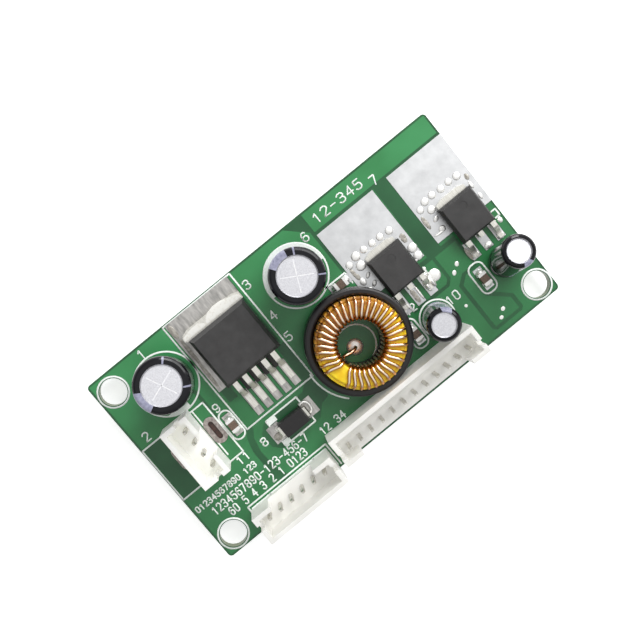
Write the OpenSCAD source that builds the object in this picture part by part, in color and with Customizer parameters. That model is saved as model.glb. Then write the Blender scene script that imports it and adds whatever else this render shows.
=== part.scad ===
// Step-down power converter board, 62 x 32 mm, with toroid inductor, three regulators and three headers.
// Millimetres. The board lies in the XY plane, components face +Z, headers stand along the front (-Y) edge.
// The origin is the front left mounting hole's centre at the board's underside.

/* [Board] */
// Board length along X
board_w = 62; // [62:0.5:90]
// Board depth along Y
board_d = 32.2; // [32.2:0.2:60]
// Board thickness
board_t = 1.6; // [0.8:0.1:2.4]
// Corner rounding
corner_r = 0.6; // [0.2:0.1:2]
// Mounting hole radius
hole_r = 2; // [1:0.05:2.2]
// Distance from the board's long edge to a hole centre
hole_edge = 2.5; // [2.4:0.1:4]
// Length of lead left below the board
tip_len = 1.5; // [0.8:0.1:2.5]

/* [Headers] */
// Pin spacing
pitch = 2; // [1.5:0.05:2]
// Housing height above the board
header_h = 6; // [4:0.1:9]
// Housing depth across the row
header_d = 4.5; // [4:0.1:4.5]
// Housing wall thickness
header_wall = 0.7; // [0.4:0.05:1]
// Width of a post beside the open side
post_w = 3; // [2:0.1:3.4]
// Square pin width
pin_w = 0.5; // [0.3:0.02:0.64]

/* [Capacitors] */
// Large capacitor sleeve radius
big_cap_r = 3.9; // [3:0.05:4.2]
// Large capacitor height
big_cap_h = 11.5; // [7:0.5:16]
// Small capacitor sleeve radius
small_cap_r = 2.4; // [2:0.05:2.5]
// Small capacitor height
small_cap_h = 11; // [6:0.5:14]

/* [Inductor] */
// Core outer radius
core_ro = 6.05; // [5:0.05:6.2]
// Core inner radius
core_ri = 3.75; // [3.5:0.05:4.2]
// Core height
core_h = 4.8; // [3:0.1:8]
// Wire radius
wire_r = 0.23; // [0.12:0.01:0.24]
// Number of turns
turns = 36; // [12:1:36]
// Holder ring radius
holder_r = 7.75; // [7.5:0.05:7.75]
// Holder ring height
holder_h = 4.2; // [2.5:0.1:6]

/* [Regulators] */
// Large regulator body width
reg_w = 9.6; // [8.4:0.1:10]
// Large regulator body height
reg_h = 4.4; // [3:0.1:5]
// Small regulator body width
fet_w = 5.8; // [5.6:0.1:6.4]
// Small regulator body height
fet_h = 2.3; // [1.8:0.1:2.6]

/* [Chips] */
// Chip capacitor length
chip_l = 2; // [1.6:0.1:2.2]
// Diode body length
diode_l = 4.2; // [3.4:0.1:4.4]

/* [Hidden] */
$fn = 48;

pad_t = 0.08;
top = board_t + pad_t;
hole_x = 2.55;
far_hole_x = board_w - 2.4;
far_hole_y = board_d - 2.9;
holes = [[hole_x, hole_edge], [far_hole_x, hole_edge], [hole_x, far_hole_y]];

// Header rows: centre of the row, heading of the open side, number of pins.
row_4 = [7.3, 15.8, 90, 4];
row_6 = [13.66, 1.8, 180, 6];
row_12 = [34.7, 2.3, 0, 12];
pin_front = 1.7;
floor_lift = 0.2;
floor_t = 1.2;

// Capacitors: base centre, how far the top leans along X and Y, heading of the lead pair.
cap_1 = [9.28, 25.4, 0.85, 0.93, 0];
cap_2 = [33.17, 25.78, -0.18, 0.4, 90];
cap_3 = [45.27, 7.97, -1.1, 0.62, 90];
cap_4 = [57.92, 8.17, 0.31, 1.77, 90];
big_pair = 3.5;
small_pair = 2;
lead_r = 0.3;
sleeve_t = 0.15;

coil = [34.1, 13.06];
wire_gap = 0.08;
first_angle = 213;
turn_step = 337.3 / turns;
bunch = 5;
bunch_turn = 13.5 * turns / 36;
bunch_width = turns / 9;
lean_start = -5.5;
lean_end = 6;
start_lead = [core_ro - 0.45, first_angle - 6];
end_lead = [1.08, 221];
coil_floor = 1;
seat_r = core_ro + 2 * wire_r + wire_gap + 0.03;
bore_r = core_ri - 0.45;

// Lead ends that come through the board, as [x, y].
function polar(c, p) = [c[0] + p[0] * cos(p[1]), c[1] + p[0] * sin(p[1])];
function row_pins(row) = [for (i = [0:row[3] - 1])
    polar([row[0], row[1]], [(i - (row[3] - 1) / 2) * pitch, row[2]])];
function pair(cap, gap) = [for (s = [-1, 1]) polar([cap[0], cap[1]], [s * gap / 2, cap[4]])];
round_leads = concat(pair(cap_1, big_pair), pair(cap_2, big_pair),
    pair(cap_3, small_pair), pair(cap_4, small_pair));
coil_leads = [polar(coil, start_lead), polar(coil, end_lead)];
square_pins = concat(row_pins(row_4), row_pins(row_6), row_pins(row_12));

// Pads for the parts that sit flat on the board, as [left, right, front, rear].
reg_x = 20.32;
reg_front = 19.65;
reg_rear = 28.15;
reg_pitch = 1.7;
fet_x = [44.87, 57.55];
fet_front = [14.6, 14];
fet_pad_front = 11.05;
fet_depth = 6.1;
fet_pitch = 2.28;
fet_pads = [[39.12, 49.35, 16.25, 28.3], [52, board_w - 0.03, 16.3, 28.4]];
diode_at = [19.68, 9.75];
chips = [[12.65, 14.9, 90], [41.28, 8.27, 90], [54.03, 8.2, 90], [37.35, 20.72, 0]];
vias = [[51.13, 11.51], [52.3, 12.3], [49.6, 6.64], [53.54, 2.9], [52.55, 2.02]];
slots = [[10.19, 15.84], [4.2, 15.84]];
slot_len = 2.2;
slot_w = 0.8;

module at_origin() translate([-hole_x, -hole_edge, 0]) children();

module stadium(w, l)
{
    square([w, l], center = true);
    for (s = [-1, 1]) translate([0, s * l / 2]) circle(d = w);
}

module rounded_plate(w, d, r)
{
    translate([r, 0]) square([w - 2 * r, d]);
    translate([0, r]) square([w, d - 2 * r]);
    for (x = [r, w - r], y = [r, d - r]) translate([x, y]) circle(r);
}

module circuit_board()
{
    color("green") at_origin() difference()
    {
        linear_extrude(board_t) rounded_plate(board_w, board_d, corner_r);
        translate([0, 0, -1]) linear_extrude(board_t + 2)
        {
            for (h = holes) translate(h) circle(hole_r);
            for (s = slots) translate(s) stadium(slot_w + 0.1, slot_len);
            for (p = concat(round_leads, coil_leads)) translate(p) circle(0.45);
            for (p = square_pins) translate(p) circle(0.42);
        }
    }
}

// A flat pad between x0..x1 and y0..y1.
module pad(x0, x1, y0, y1) translate([x0, y0, board_t]) cube([x1 - x0, y1 - y0, pad_t]);

module tinned_pads()
{
    color("silver") at_origin()
    {
        pad(14.07, 24.95, 19.7, 29);
        pad(14.07, 25.4, 28.4, 31.9);
        for (i = [-2:2]) pad(reg_x + i * reg_pitch - 0.62, reg_x + i * reg_pitch + 0.5, 13.5, 17.7);
        for (p = fet_pads) pad(p[0], p[1], p[2], p[3]);
        for (k = [0, 1], s = [-1, 0, 1])
            pad(fet_x[k] + s * fet_pitch - 0.7, fet_x[k] + s * fet_pitch + 0.7,
                fet_pad_front, fet_front[k] - 0.1);
        for (s = [-1, 1]) pad(diode_at[0] + s * 2.95 - 1, diode_at[0] + s * 2.95 + 1, 8.46, 11.2);
        for (c = chips, s = [-1, 1])
            translate([c[0], c[1], board_t]) rotate(c[2]) translate([s * 1.15 - 0.6, -0.68, 0])
                cube([1.2, 1.36, pad_t]);
    }
}

module slot_ring(w, l, t) linear_extrude(t) difference()
{
    stadium(w, l);
    stadium(slot_w, slot_len);
}

module plated_slots()
{
    color("silver") at_origin() for (s = slots) translate(s)
    {
        translate([0, 0, -0.06]) slot_ring(slot_w + 0.1, slot_len, board_t + 0.12);
        translate([0, 0, board_t]) slot_ring(2.2, slot_len - 0.1, 0.06);
        translate([0, 0, -0.06]) slot_ring(2.2, slot_len - 0.1, 0.06);
    }
}

// A rounded cap of solder of radius r and height h, standing on z = 0.
module dome(r, h)
{
    ball = (r * r + h * h) / (2 * h);
    intersection()
    {
        translate([0, 0, h - ball]) sphere(ball);
        translate([-2 * r, -2 * r, 0]) cube([4 * r, 4 * r, h + 1]);
    }
}

module solder_bumps()
{
    color("silver") at_origin()
    {
        for (x = [43, 44.5, 46, 47.55]) translate([x, 22.3, top]) dome(0.5, 0.22);
        for (x = [54.1, 55.65, 57.15, 58.65, 60.15]) translate([x, 22.3, top]) dome(0.52, 0.22);
        for (y = [17.8, 19.35, 20.9])
        {
            translate([40.95, y, top]) dome(0.5, 0.2);
            translate([48.75, y, top]) dome(0.5, 0.2);
            translate([53.6, y, top]) dome(0.55, 0.2);
            translate([61.4, y, top]) dome(0.5, 0.2);
        }
        for (v = vias) translate([v[0], v[1], board_t]) dome(0.4, 0.14);
        translate([49.1, 13.05, board_t]) dome(1.02, 0.35);
        translate([coil_leads[1][0], coil_leads[1][1], board_t]) difference()
        {
            dome(1.35, 0.8);
            translate([0, 0, -1]) cylinder(r = wire_r + 0.02, h = 3);
        }
    }
}

// A cone of solder under the board.
module joint(r) translate([0, 0, -0.95]) cylinder(r1 = 0.42, r2 = r, h = 0.95);

module solder_joints()
{
    color("silver") at_origin()
    {
        for (p = round_leads) translate(p) difference()
        {
            joint(0.85);
            translate([0, 0, -2]) cylinder(r = lead_r, h = 3);
        }
        for (p = coil_leads) translate(p) difference()
        {
            joint(0.95);
            translate([0, 0, -2]) cylinder(r = wire_r + 0.02, h = 3);
        }
        for (p = square_pins) translate(p) difference()
        {
            joint(0.78);
            translate([-pin_w / 2, -pin_w / 2, -2]) cube([pin_w, pin_w, 3]);
        }
    }
}

// ---- Inductor -------------------------------------------------------------------------------------

module at_coil() at_origin() translate([coil[0], coil[1], top]) children();

module inductor_holder()
{
    foot_r = seat_r + 0.28;
    color("black") at_coil() difference()
    {
        rotate_extrude() polygon([[bore_r, 0], [foot_r, 0], [foot_r, 1.6], [holder_r, 1.9],
            [holder_r, holder_h - 0.35], [holder_r - 0.1, holder_h - 0.1], [holder_r - 0.35, holder_h],
            [seat_r + 0.33, holder_h], [seat_r + 0.1, holder_h - 0.08], [seat_r, holder_h - 0.3],
            [seat_r, coil_floor], [bore_r, coil_floor]]);
        rotate(start_lead[1]) translate([start_lead[0], 0, -1]) cylinder(r = 0.5, h = 3);
    }
}

core_z = coil_floor + 0.05 + 2 * wire_r + wire_gap;
core_round = 0.5;

module inductor_core()
{
    color("yellow") at_coil() translate([0, 0, core_z]) rotate_extrude() translate([core_ri, 0])
        rounded_plate(core_ro - core_ri, core_h, core_round);
}

// The wire's path: each entry is [radius, angle, height, outward part of the normal, upward part].
lay = wire_r + wire_gap;
bend = core_round + lay;
in_r = core_ri + core_round;
out_r = core_ro - core_round;
low_z = core_z + core_round;
high_z = core_z + core_h - core_round;
function outer_angle(i) = first_angle + turn_step * i + bunch * exp(-pow((i - bunch_turn) / bunch_width, 2));
function inner_angle(i) = outer_angle(i) + lean_start + (lean_end - lean_start) * i / (turns - 1);
function corner(r, z, a, t) = [r + bend * cos(t), a, z + bend * sin(t), cos(t), sin(t)];
function turn(i) = [
    for (t = [-90, -45, 0]) corner(out_r, low_z, outer_angle(i), t),
    for (t = [0, 45, 90]) corner(out_r, high_z, outer_angle(i), t),
    for (t = [90, 135, 180]) corner(in_r, high_z, inner_angle(i), t),
    for (t = [180, 225, 270]) corner(in_r, low_z, inner_angle(i), t)];
last = turns - 1;
end_angle = inner_angle(last);
path = concat(
    [[start_lead[0], start_lead[1], -top - tip_len, 0.7, 0],
        [start_lead[0], start_lead[1], core_z - 0.75, 0.7, 0],
        [start_lead[0], start_lead[1] + 1.5, core_z - 0.36, 0.4, -0.9]],
    [for (i = [0:last - 1]) each turn(i)],
    [for (k = [0:8]) turn(last)[k]],
    [[in_r - bend, end_angle, low_z - 0.2, -1, 0],
        [in_r - bend - 0.3, end_angle + 3, low_z - 0.75, -0.8, -0.6],
        [2, 203, 1.35, -0.3, -0.95], [end_lead[0] + 0.25, 217, 1.15, -0.5, -0.85],
        [end_lead[0], end_lead[1], 0.85, -1, 0], [end_lead[0], end_lead[1], -top - tip_len, -1, 0]]);
sides = 8;
function ring(p) = let (c = cos(p[1]), s = sin(p[1]), n = norm([p[3], p[4]]))
    [for (k = [0:sides - 1]) let (u = wire_r * cos(360 * k / sides), v = wire_r * sin(360 * k / sides))
        [(p[0] + u * p[3] / n) * c - v * s, (p[0] + u * p[3] / n) * s + v * c, p[2] + u * p[4] / n]];

module inductor_winding()
{
    rings = len(path);
    points = [for (p = path) each ring(p)];
    faces = concat(
        [[for (k = [0:sides - 1]) k]],
        [for (j = [0:rings - 2], k = [0:sides - 1])
            [j * sides + k, (j + 1) * sides + k, (j + 1) * sides + (k + 1) % sides]],
        [for (j = [0:rings - 2], k = [0:sides - 1])
            [j * sides + k, (j + 1) * sides + (k + 1) % sides, j * sides + (k + 1) % sides]],
        [[for (k = [sides - 1:-1:0]) (rings - 1) * sides + k]]);
    color("orange") at_coil() polyhedron(points, faces, convexity = 10);
}

// ---- Electrolytic capacitors ----------------------------------------------------------------------

// A capacitor's size: sleeve radius, height, radius of the bare metal top, lead spacing.
big = [big_cap_r, big_cap_h, big_cap_r - 1.08, big_pair];
small = [small_cap_r, small_cap_h, small_cap_r - 0.65, small_pair];

// Stand a capacitor on its base edge, leaning as its entry says.
module stand(cap, size)
{
    lean = norm([cap[2], cap[3]]);
    tilt = asin(lean / size[1]);
    heading = atan2(cap[3], cap[2]);
    at_origin() translate([cap[0], cap[1], board_t + size[0] * sin(tilt) + 0.02])
        rotate([0, 0, heading]) rotate([0, tilt, 0]) rotate([0, 0, -heading]) children();
}

// Shrunk plastic sleeve, drawn in round the can's rim and its groove.
module sleeve(cap, size)
{
    r = size[0];
    h = size[1];
    t = sleeve_t;
    color("black") stand(cap, size) rotate_extrude() polygon([[r - 0.75, 0], [r - 0.2, 0], [r, 0.2],
        [r, 1.5], [r - 0.22, 1.8], [r, 2.1], [r, h - 0.55], [r - 0.08, h - 0.28], [r - 0.25, h - 0.1],
        [r - 0.5, h], [size[2], h], [size[2], h - t], [r - 0.5 - t / 2, h - t], [r - 0.3 - t / 2, h - 0.25],
        [r - t, h - 0.6], [r - t, 2.15], [r - 0.22 - t, 1.8], [r - t, 1.45], [r - t, t], [r - 0.75, t]]);
}

// Drawn aluminium can with a groove near its foot and a scored cross in its top.
module can(cap, size, scores)
{
    q = size[0] - sleeve_t;
    h = size[1];
    w = 0.3;
    color("silver") stand(cap, size) difference()
    {
        rotate_extrude() polygon([[q - w, 0.2], [q, 0.2], [q, 1.45], [q - 0.22, 1.8], [q, 2.15],
            [q, h - 0.6], [q - 0.23, h - 0.25], [q - 0.43, h - sleeve_t], [size[2], h - sleeve_t],
            [size[2] - 0.15, h - 0.3], [0, h - 0.3], [0, h - 0.6], [q - w, h - 0.7], [q - w, 2.3],
            [q - w - 0.22, 1.8], [q - w, 1.4]]);
        for (a = scores) rotate(a) translate([-2.5, -0.09, h - 0.36]) cube([5, 0.18, 1]);
    }
}

// Wound foil and paper inside the can.
module roll(cap, size)
{
    color("tan") stand(cap, size) translate([0, 0, 2.35]) cylinder(r = size[0] - 0.55, h = size[1] - 3.3);
}

module leads(cap, size)
{
    rise = size[0] * norm([cap[2], cap[3]]) / size[1];
    color("silver") at_origin() for (p = pair(cap, size[3])) translate([p[0], p[1], -tip_len])
        cylinder(r = lead_r, h = tip_len + board_t + rise + 0.85);
}

// Rubber seal in the can's mouth, with the leads passing through.
module bung(cap, size)
{
    color("dimgray") difference()
    {
        stand(cap, size) translate([0, 0, 0.25]) cylinder(r = size[0] - sleeve_t - 0.3, h = 1.1);
        leads(cap, size);
    }
}

module capacitor_1_sleeve() sleeve(cap_1, big);
module capacitor_1_can() can(cap_1, big, [20, 114]);
module capacitor_1_roll() roll(cap_1, big);
module capacitor_1_bung() bung(cap_1, big);
module capacitor_1_leads() leads(cap_1, big);

module capacitor_2_sleeve() sleeve(cap_2, big);
module capacitor_2_can() can(cap_2, big, [65, 150]);
module capacitor_2_roll() roll(cap_2, big);
module capacitor_2_bung() bung(cap_2, big);
module capacitor_2_leads() leads(cap_2, big);

module capacitor_3_sleeve() sleeve(cap_3, small);
module capacitor_3_can() can(cap_3, small, []);
module capacitor_3_roll() roll(cap_3, small);
module capacitor_3_bung() bung(cap_3, small);
module capacitor_3_leads() leads(cap_3, small);

module capacitor_4_sleeve() sleeve(cap_4, small);
module capacitor_4_can() can(cap_4, small, []);
module capacitor_4_roll() roll(cap_4, small);
module capacitor_4_bung() bung(cap_4, small);
module capacitor_4_leads() leads(cap_4, small);

// ---- Regulators -----------------------------------------------------------------------------------

// Moulded body: w wide, d deep, h high, widest in the band z0..z1, narrower by s at the top.
module moulding(w, d, h, z0, z1, s) intersection()
{
    translate([0, d, 0]) rotate([90, 0, 0]) linear_extrude(d)
        polygon([[-w / 2 + s / 2, 0], [w / 2 - s / 2, 0], [w / 2, z0], [w / 2, z1],
            [w / 2 - s, h], [-w / 2 + s, h], [-w / 2, z1], [-w / 2, z0]]);
    translate([-w / 2, 0, 0]) rotate([90, 0, 90]) linear_extrude(w)
        polygon([[s / 2, 0], [d, 0], [d, z1], [d - s, h], [s, h], [0, z1], [0, z0]]);
}

// Metal tab: a slug under the body and a wider shelf behind it, with its two rear corners cut.
module tab(slug_w, slug_y, w, y0, y1, t) linear_extrude(t) union()
{
    translate([-slug_w / 2, slug_y]) square([slug_w, y0 - slug_y]);
    polygon([[-w / 2, y0], [w / 2, y0], [w / 2, y1 - 0.35], [w / 2 - 1, y1], [-w / 2 + 1, y1],
        [-w / 2, y1 - 0.35]]);
}

// One bent lead, w wide, from the body at y = 0, z = zl down to a foot ending at y = -reach.
module bent_lead(w, t, zl, run, foot, reach) translate([-w / 2, 0, 0]) rotate([90, 0, 90]) linear_extrude(w)
    polygon([[0, zl], [0, zl + t], [-run, zl + t], [-run - 0.25, zl + t - 0.1], [-foot - 0.1, t + 0.06],
        [-foot - 0.35, t], [-reach, t], [-reach, 0], [-foot + 0.15, 0], [-foot + 0.3, 0.06],
        [-run + 0.02, zl - 0.08], [-run + 0.15, zl]]);

module at_reg() at_origin() translate([reg_x, 0, top]) children();

module regulator_1_body()
{
    color("dimgray") at_reg() difference()
    {
        translate([0.15, reg_front, 0]) moulding(reg_w, reg_rear - reg_front, reg_h, 2.3, 2.95, 0.5);
        translate([0, 0, -1]) tab(7.8, 21, 10.2, reg_rear, 29.6, 2.27);
    }
}
module regulator_1_tab() color("silver") at_reg() tab(7.8, 21, 10.2, reg_rear, 29.6, 1.27);
module regulator_1_leads()
{
    color("silver") at_reg() for (i = [-2:2]) translate([i * reg_pitch, reg_front, 0])
        bent_lead(0.8, 0.5, 2.4, 1.3, 2.55, 4.85);
}

module at_fet(k) at_origin() translate([fet_x[k], fet_front[k], top]) children();
module fet_body(k) at_fet(k) difference()
{
    moulding(fet_w, fet_depth, fet_h, 0.9, 1.45, 0.35);
    translate([0, 0, -1]) tab(4.6, 1.2, 5.1, fet_depth, fet_depth + 0.92, 1.51);
    // Ejector pin mark.
    translate([0.27, fet_depth - 1.55, fet_h - 0.06]) cylinder(r = 0.6, h = 1);
}
module fet_leads(k) at_fet(k)
{
    for (s = [-1, 1]) translate([s * fet_pitch, 0, 0]) bent_lead(0.75, 0.5, 0.92, 0.85, 1.75, 2.75);
    translate([-0.375, -0.8, 0.92]) cube([0.75, 0.8, 0.5]);
}
module regulator_2_body() color("dimgray") fet_body(0);
module regulator_2_tab() color("silver") at_fet(0) tab(4.6, 1.2, 5.1, fet_depth, fet_depth + 0.92, 0.51);
module regulator_2_leads() color("silver") fet_leads(0);
module regulator_3_body() color("dimgray") fet_body(1);
module regulator_3_tab() color("silver") at_fet(1) tab(4.6, 1.2, 5.1, fet_depth, fet_depth + 0.92, 0.51);
module regulator_3_leads() color("silver") fet_leads(1);

// ---- Headers --------------------------------------------------------------------------------------

// Work in a row's own frame: X along the row, Y towards the closed wall, pins on y = 0.
module at_row(row) at_origin() translate([row[0], row[1], 0]) rotate(row[2]) children();
function row_length(row) = (row[3] - 1) * pitch + 3.9;

module housing(row)
{
    l = row_length(row);
    back = header_d - pin_front;
    z1 = board_t + header_h;
    z0 = board_t + floor_lift;
    at_row(row) difference()
    {
        union()
        {
            translate([-l / 2, -pin_front, z0]) cube([l, header_d, header_h - floor_lift]);
            for (s = [-1, 1], y = [-pin_front, back - 0.8])
                translate([s * (l / 2 - 0.5) - 0.5, y, board_t]) cube([1, 0.8, floor_lift]);
        }
        translate([-l / 2 + header_wall, -pin_front + header_wall, z0 + floor_t])
            cube([l - 2 * header_wall, header_d - 2 * header_wall, header_h]);
        translate([-l / 2 + post_w, -pin_front - 1, z0 + floor_t]) cube([l - 2 * post_w, 2, header_h]);
        for (s = [-1, 1]) translate([s * l / 2 - 1, -0.45, z1 - 2.4]) cube([2, 0.9, header_h]);
        for (i = [0:row[3] - 1]) translate([(i - (row[3] - 1) / 2) * pitch - pin_w / 2, -pin_w / 2, 0])
            cube([pin_w, pin_w, z1]);
    }
}

module pins(row) at_row(row) for (i = [0:row[3] - 1]) translate([(i - (row[3] - 1) / 2) * pitch, 0, 0])
{
    translate([-pin_w / 2, -pin_w / 2, -tip_len]) cube([pin_w, pin_w, tip_len + board_t + header_h - 1.3]);
    translate([0, 0, board_t + header_h - 1.3]) rotate(45)
        cylinder(d1 = pin_w * sqrt(2), d2 = pin_w * sqrt(0.5), h = 0.3, $fn = 4);
}

module header_4_housing() color("white") housing(row_4);
module header_4_pins() color("silver") pins(row_4);
module header_6_housing() color("white") housing(row_6);
module header_6_pins() color("silver") pins(row_6);
module header_12_housing() color("white") housing(row_12);
module header_12_pins() color("silver") pins(row_12);

// ---- Diode and chip capacitors --------------------------------------------------------------------

module at_diode() at_origin() translate([diode_at[0], diode_at[1], top]) children();

// A terminal strap: out of the body's end, down it and back under.
module strap() rotate([90, 0, 0]) linear_extrude(1.5, center = true)
    polygon([[diode_l / 2, 0.95], [diode_l / 2, 1.15], [diode_l / 2 + 0.35, 1.15], [diode_l / 2 + 0.5, 1],
        [diode_l / 2 + 0.5, 0.1], [diode_l / 2 + 0.4, 0], [diode_l / 2 - 0.9, 0], [diode_l / 2 - 0.9, 0.18],
        [diode_l / 2 + 0.3, 0.18], [diode_l / 2 + 0.3, 0.95]]);

module diode_body()
{
    color("black") at_diode() translate([0, -1.3, 0.2]) intersection()
    {
        translate([0, 2.6, 0]) rotate([90, 0, 0]) linear_extrude(2.6)
            polygon([[-diode_l / 2 + 0.08, 0], [diode_l / 2 - 0.08, 0], [diode_l / 2, 0.7], [diode_l / 2, 1],
                [diode_l / 2 - 0.15, 2], [-diode_l / 2 + 0.15, 2], [-diode_l / 2, 1], [-diode_l / 2, 0.7]]);
        translate([-diode_l / 2, 0, 0]) rotate([90, 0, 90]) linear_extrude(diode_l)
            polygon([[0.08, 0], [2.52, 0], [2.6, 0.75], [2.6, 0.95], [2.45, 2], [0.15, 2], [0, 0.95],
                [0, 0.75]]);
    }
}
module diode_terminals() color("silver") at_diode() for (s = [0, 1]) mirror([s, 0, 0]) strap();

module at_chips() at_origin() for (c = chips) translate([c[0], c[1], top]) rotate(c[2]) children();
end_l = 0.45;
module chip_bodies()
{
    color("tan") at_chips() translate([-chip_l / 2 + end_l, -0.6, 0.03]) cube([chip_l - 2 * end_l, 1.2, 1.1]);
}
module chip_ends()
{
    color("silver") at_chips() for (s = [-1, 1])
        translate([s * (chip_l - end_l) / 2 - end_l / 2, -0.63, 0]) cube([end_l, 1.26, 1.16]);
}

circuit_board();
tinned_pads();
plated_slots();
solder_bumps();
solder_joints();
inductor_holder();
inductor_core();
inductor_winding();
capacitor_1_sleeve();
capacitor_1_can();
capacitor_1_roll();
capacitor_1_bung();
capacitor_1_leads();
capacitor_2_sleeve();
capacitor_2_can();
capacitor_2_roll();
capacitor_2_bung();
capacitor_2_leads();
capacitor_3_sleeve();
capacitor_3_can();
capacitor_3_roll();
capacitor_3_bung();
capacitor_3_leads();
capacitor_4_sleeve();
capacitor_4_can();
capacitor_4_roll();
capacitor_4_bung();
capacitor_4_leads();
regulator_1_body();
regulator_1_tab();
regulator_1_leads();
regulator_2_body();
regulator_2_tab();
regulator_2_leads();
regulator_3_body();
regulator_3_tab();
regulator_3_leads();
header_4_housing();
header_4_pins();
header_6_housing();
header_6_pins();
header_12_housing();
header_12_pins();
diode_body();
diode_terminals();
chip_bodies();
chip_ends();
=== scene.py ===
import math

import bmesh
import bpy
from mathutils import Euler, Matrix, Vector


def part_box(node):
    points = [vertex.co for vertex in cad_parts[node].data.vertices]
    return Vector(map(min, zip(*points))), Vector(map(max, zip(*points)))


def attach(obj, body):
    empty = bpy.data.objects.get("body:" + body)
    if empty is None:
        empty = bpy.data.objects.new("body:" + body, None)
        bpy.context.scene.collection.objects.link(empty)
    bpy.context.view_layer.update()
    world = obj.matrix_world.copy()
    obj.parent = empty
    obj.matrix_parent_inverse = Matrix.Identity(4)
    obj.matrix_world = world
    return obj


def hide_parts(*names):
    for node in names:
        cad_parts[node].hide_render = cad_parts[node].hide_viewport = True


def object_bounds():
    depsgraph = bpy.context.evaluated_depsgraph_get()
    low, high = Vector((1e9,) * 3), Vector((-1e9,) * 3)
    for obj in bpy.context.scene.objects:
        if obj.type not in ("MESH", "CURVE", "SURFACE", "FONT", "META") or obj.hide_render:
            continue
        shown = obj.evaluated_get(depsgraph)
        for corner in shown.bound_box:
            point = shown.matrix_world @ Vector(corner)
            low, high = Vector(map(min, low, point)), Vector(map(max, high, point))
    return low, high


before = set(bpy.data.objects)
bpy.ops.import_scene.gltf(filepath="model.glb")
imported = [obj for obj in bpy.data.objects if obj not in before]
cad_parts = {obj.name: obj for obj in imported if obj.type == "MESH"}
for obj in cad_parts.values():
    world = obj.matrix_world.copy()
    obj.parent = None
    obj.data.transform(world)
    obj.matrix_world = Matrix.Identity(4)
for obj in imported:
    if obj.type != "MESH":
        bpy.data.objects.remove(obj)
cad_box = [list(corner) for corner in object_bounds()]

MM = 0.001
board_low, board_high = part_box("circuit_board")


def on_board(x, y, lift=0.0):
    """A place in millimetres from the board's front left corner, lifted above its top face."""
    return Vector((board_low.x + x * MM, board_low.y + y * MM, board_high.z + lift * MM))


# ---- Camera, light and floor ----------------------------------------------------------------------

# Almost straight above the board, which lies turned with its long edge climbing to the right.
CAMERA_PLACE = (0.027361, 0.030707, 0.144633)
CAMERA_DEGREES = (-4.0468, -4.2858, -39.1083)
BOARD_MIDDLE = on_board(31, 16)

camera = bpy.data.objects.new("camera", bpy.data.cameras.new("camera"))
bpy.context.scene.collection.objects.link(camera)
camera.location = CAMERA_PLACE
camera.rotation_euler = Euler([math.radians(turn) for turn in CAMERA_DEGREES])
camera.data.lens = 56.25
camera.data.sensor_width = 36
camera.data.clip_start = 0.002
bpy.context.scene.camera = camera
bpy.context.scene.view_settings.view_transform = "Standard"


def linear(hex_colour):
    """An sRGB hex colour as linear RGBA."""
    parts = [int(hex_colour[i:i + 2], 16) / 255 for i in (1, 3, 5)]
    return [p / 12.92 if p <= 0.04045 else ((p + 0.055) / 1.055) ** 2.4 for p in parts] + [1.0]


def add(tree, kind, inputs=None, **settings):
    """Add one node: its settings, then its inputs, each a plain value or another node's output."""
    made = tree.nodes.new(kind)
    for name, value in settings.items():
        setattr(made, name, value)
    for name, value in (inputs or {}).items():
        socket = made.inputs[name]
        if isinstance(value, bpy.types.NodeSocket):
            tree.links.new(value, socket)
        else:
            socket.default_value = value
    return made


def soft_box(name, place, side, watts):
    """A square diffused lamp that faces the middle of the board."""
    lamp = bpy.data.lights.new(name, "AREA")
    lamp.shape = "SQUARE"
    lamp.size = side
    lamp.energy = watts
    made = bpy.data.objects.new(name, lamp)
    made.location = place
    aim = BOARD_MIDDLE - made.location
    made.rotation_euler = aim.to_track_quat("-Z", "Y").to_euler()
    bpy.context.scene.collection.objects.link(made)


soft_box("overhead_soft_box", place=(0.34, 0.13, 0.35), side=0.25, watts=0.95)
soft_box("side_soft_box", place=(0.30, 0.34, 0.30), side=0.16, watts=0.9)

# Plain studio surround: a broad pale ceiling, brightest a little to the right, over dim walls.
BRIGHTEST = Vector((0.2, 0.06, 0.97)).normalized()
world = bpy.data.worlds.new("studio")
bpy.context.scene.world = world
world.use_nodes = True
world.node_tree.nodes.clear()
direction = add(world.node_tree, "ShaderNodeTexCoord").outputs["Generated"]
towards = add(world.node_tree, "ShaderNodeVectorMath", {
    0: direction, 1: BRIGHTEST}, operation="DOT_PRODUCT").outputs["Value"]
sky = add(world.node_tree, "ShaderNodeMapRange", {
    "Value": towards, "From Min": 0.25, "From Max": 0.98, "To Min": 0.22, "To Max": 0.86},
    interpolation_type="SMOOTHSTEP")
shade = add(world.node_tree, "ShaderNodeCombineColor", {
    "Red": sky.outputs[0], "Green": sky.outputs[0], "Blue": sky.outputs[0]})
surround = add(world.node_tree, "ShaderNodeBackground", {"Color": shade.outputs[0], "Strength": 1.0})
add(world.node_tree, "ShaderNodeOutputWorld", {"Surface": surround.outputs[0]})

FLOOR_REACH = 3
floor_z = cad_box[0][2]
floor = bpy.data.objects.new("floor", bpy.data.meshes.new("floor"))
floor.data.from_pydata([(FLOOR_REACH * x, FLOOR_REACH * y, floor_z)
                        for x, y in ((-1, -1), (1, -1), (1, 1), (-1, 1))], [], [(0, 1, 2, 3)])
bpy.context.scene.collection.objects.link(floor)

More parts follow.
